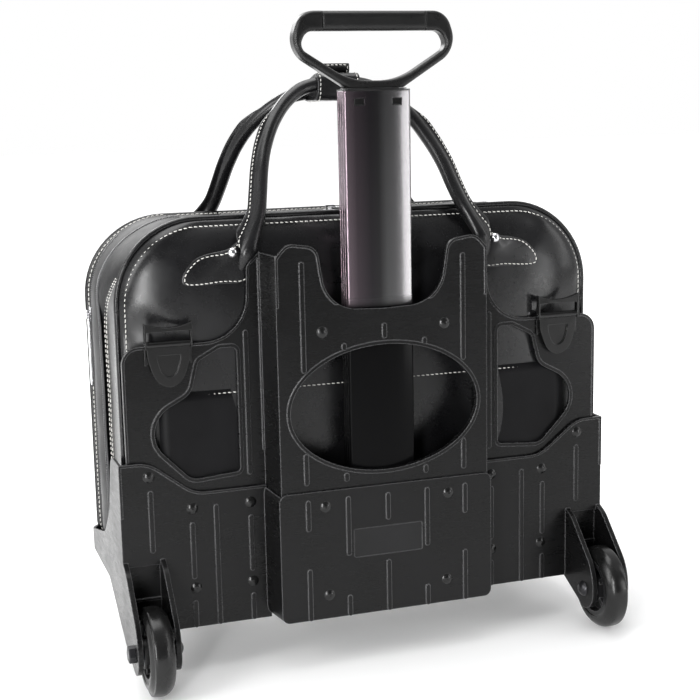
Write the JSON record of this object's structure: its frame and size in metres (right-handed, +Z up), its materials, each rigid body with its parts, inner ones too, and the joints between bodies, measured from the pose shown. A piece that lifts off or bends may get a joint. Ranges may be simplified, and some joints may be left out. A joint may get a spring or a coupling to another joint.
{
  "type": "rolling laptop case",
  "caption": "Black leather laptop case buckled to a moulded two-wheeled trolley with a two-stage telescoping handle and D-shaped grip.",
  "frame": {"origin": "on the floor, under the middle of the overall box", "axes": "+Z up; +X to the right when looking at the trolley side; +Y from the trolley towards the front of the case"},
  "size_m": [0.471, 0.2669, 0.566],
  "materials": {
    "moulding": "satin black moulded plastic",
    "gloss_black": "gloss black",
    "soft_grip": "matte soft-touch",
    "wheel_tyre": "glossy black polyurethane",
    "wheel_hub": "satin",
    "gunmetal": "anodised gunmetal",
    "tube_aluminium": "satin anodised",
    "steel": "plated",
    "chrome_trim": "polished",
    "black_steel": "black plated, low gloss",
    "leather": "smooth black, soft sheen",
    "lining": "grey woven lining",
    "pad_rubber": "matte",
    "label_blank": "fine matte, blank"
  },
  "bodies": {
    "trolley": {"base_tub": "moulding", "back_frame": "moulding", "label_plate": "label_blank", "frame_rivets": "black_steel", "outer_tube": "gunmetal", "outer_collar": "gloss_black", "tube_socket": "moulding", "tube_clamp": "moulding", "spacer_left": "steel", "spacer_right": "steel", "axle_bolts": "black_steel", "axle_nuts": "black_steel", "leg_left": "moulding", "leg_right": "moulding", "foot_pads": "pad_rubber", "latch_loop_left": "gloss_black", "latch_loop_right": "gloss_black", "latch_pins": "chrome_trim"},
    "middle_stage": {"middle_tube": "tube_aluminium", "middle_foot": "moulding", "middle_collar": "gloss_black"},
    "grip": {"inner_tube": "tube_aluminium", "inner_foot": "moulding", "grip_core": "gloss_black", "grip_pad": "soft_grip", "button_spring": "steel"},
    "release": {"push_button": "gloss_black", "push_rod": "steel"},
    "pin_left": {"lock_pin_left": "steel"},
    "pin_right": {"lock_pin_right": "steel"},
    "wheel_left": {"tyre_left": "wheel_tyre", "hub_left": "wheel_hub", "bearings_left": "steel"},
    "wheel_right": {"tyre_right": "wheel_tyre", "hub_right": "wheel_hub", "bearings_right": "steel"},
    "latch_left": {"latch_tab_left": "gloss_black"},
    "latch_right": {"latch_tab_right": "gloss_black"},
    "case": {"bag_shell": "leather", "rear_panel": "leather", "front_panel": "leather", "piping_rear": "leather", "piping_front": "leather", "rear_pocket": "leather", "base_board": "lining", "laptop_sleeve": "lining", "carry_handle_rear": "leather", "carry_handle_front": "leather", "handle_tabs": "leather", "handle_studs": "chrome_trim", "handle_wrap": "leather", "wrap_snap": "chrome_trim"},
    "flap_rear": {"top_flap_rear": "leather"},
    "flap_front": {"top_flap_front": "leather"},
    "top_slider": {"zip_slider_top": "chrome_trim"},
    "top_pull": {"zip_pull_top": "chrome_trim"},
    "side_slider": {"zip_slider_side": "chrome_trim"},
    "side_pull": {"zip_pull_side": "chrome_trim"}
  },
  "joints": [
    {"name": "middle_slide", "type": "slide", "parent": "trolley", "child": "middle_stage", "axis": [0, 0, 1], "range_m": [0, 0.235]},
    {"name": "grip_slide", "type": "slide", "parent": "middle_stage", "child": "grip", "axis": [0, 0, 1], "range_m": [0, 0.235]},
    {"name": "button_press", "type": "slide", "parent": "grip", "child": "release", "axis": [0, 0, -1], "range_m": [0, 0.0035], "stiffness_N_per_m": 600, "springref_m": -0.004, "deforming": ["button_spring"]},
    {"name": "pin_left_draw", "type": "slide", "parent": "grip", "child": "pin_left", "axis": [1, 0, 0], "range_m": [0, 0.0025]},
    {"name": "pin_right_draw", "type": "slide", "parent": "grip", "child": "pin_right", "axis": [-1, 0, 0], "range_m": [0, 0.0025]},
    {"name": "wheel_left_spin", "type": "hinge", "parent": "trolley", "child": "wheel_left", "pos_m": [-0.2115, -0.09545, 0.038], "axis": [1, 0, 0], "continuous": true},
    {"name": "wheel_right_spin", "type": "hinge", "parent": "trolley", "child": "wheel_right", "pos_m": [0.2115, -0.09545, 0.038], "axis": [1, 0, 0], "continuous": true},
    {"name": "latch_left_hinge", "type": "hinge", "parent": "trolley", "child": "latch_left", "pos_m": [-0.1826, -0.05965, 0.2935], "axis": [-1, 0, 0], "range_deg": [0, 100]},
    {"name": "latch_right_hinge", "type": "hinge", "parent": "trolley", "child": "latch_right", "pos_m": [0.1826, -0.05965, 0.2935], "axis": [-1, 0, 0], "range_deg": [0, 100]},
    {"name": "case_lift", "type": "slide", "parent": "trolley", "child": "case", "axis": [0, 0, 1], "range_m": [0, 0.15]},
    {"name": "flap_rear_hinge", "type": "hinge", "parent": "case", "child": "flap_rear", "pos_m": [0, -0.02695, 0.3884], "axis": [1, 0, 0], "range_deg": [0, 50]},
    {"name": "flap_front_hinge", "type": "hinge", "parent": "case", "child": "flap_front", "pos_m": [0, 0.10825, 0.3884], "axis": [-1, 0, 0], "range_deg": [0, 50]},
    {"name": "top_zip", "type": "slide", "parent": "flap_front", "child": "top_slider", "axis": [1, 0, 0], "range_m": [-0.13, 0.12]},
    {"name": "top_pull_hinge", "type": "hinge", "parent": "top_slider", "child": "top_pull", "pos_m": [-0.0025, 0.04575, 0.3926], "axis": [0, -1, 0], "range_deg": [0, 150]},
    {"name": "side_zip", "type": "slide", "parent": "case", "child": "side_slider", "axis": [0, 0, 1], "range_m": [-0.12, 0.005]},
    {"name": "side_pull_hinge", "type": "hinge", "parent": "side_slider", "child": "side_pull", "pos_m": [-0.2252, 0.09655, 0.3011], "axis": [0, 1, 0], "range_deg": [0, 110]}
  ],
  "couplings": [
    {"joint": "pin_left_draw", "follows": "button_press", "ratio": 0.714},
    {"joint": "pin_right_draw", "follows": "button_press", "ratio": 0.714}
  ]
}
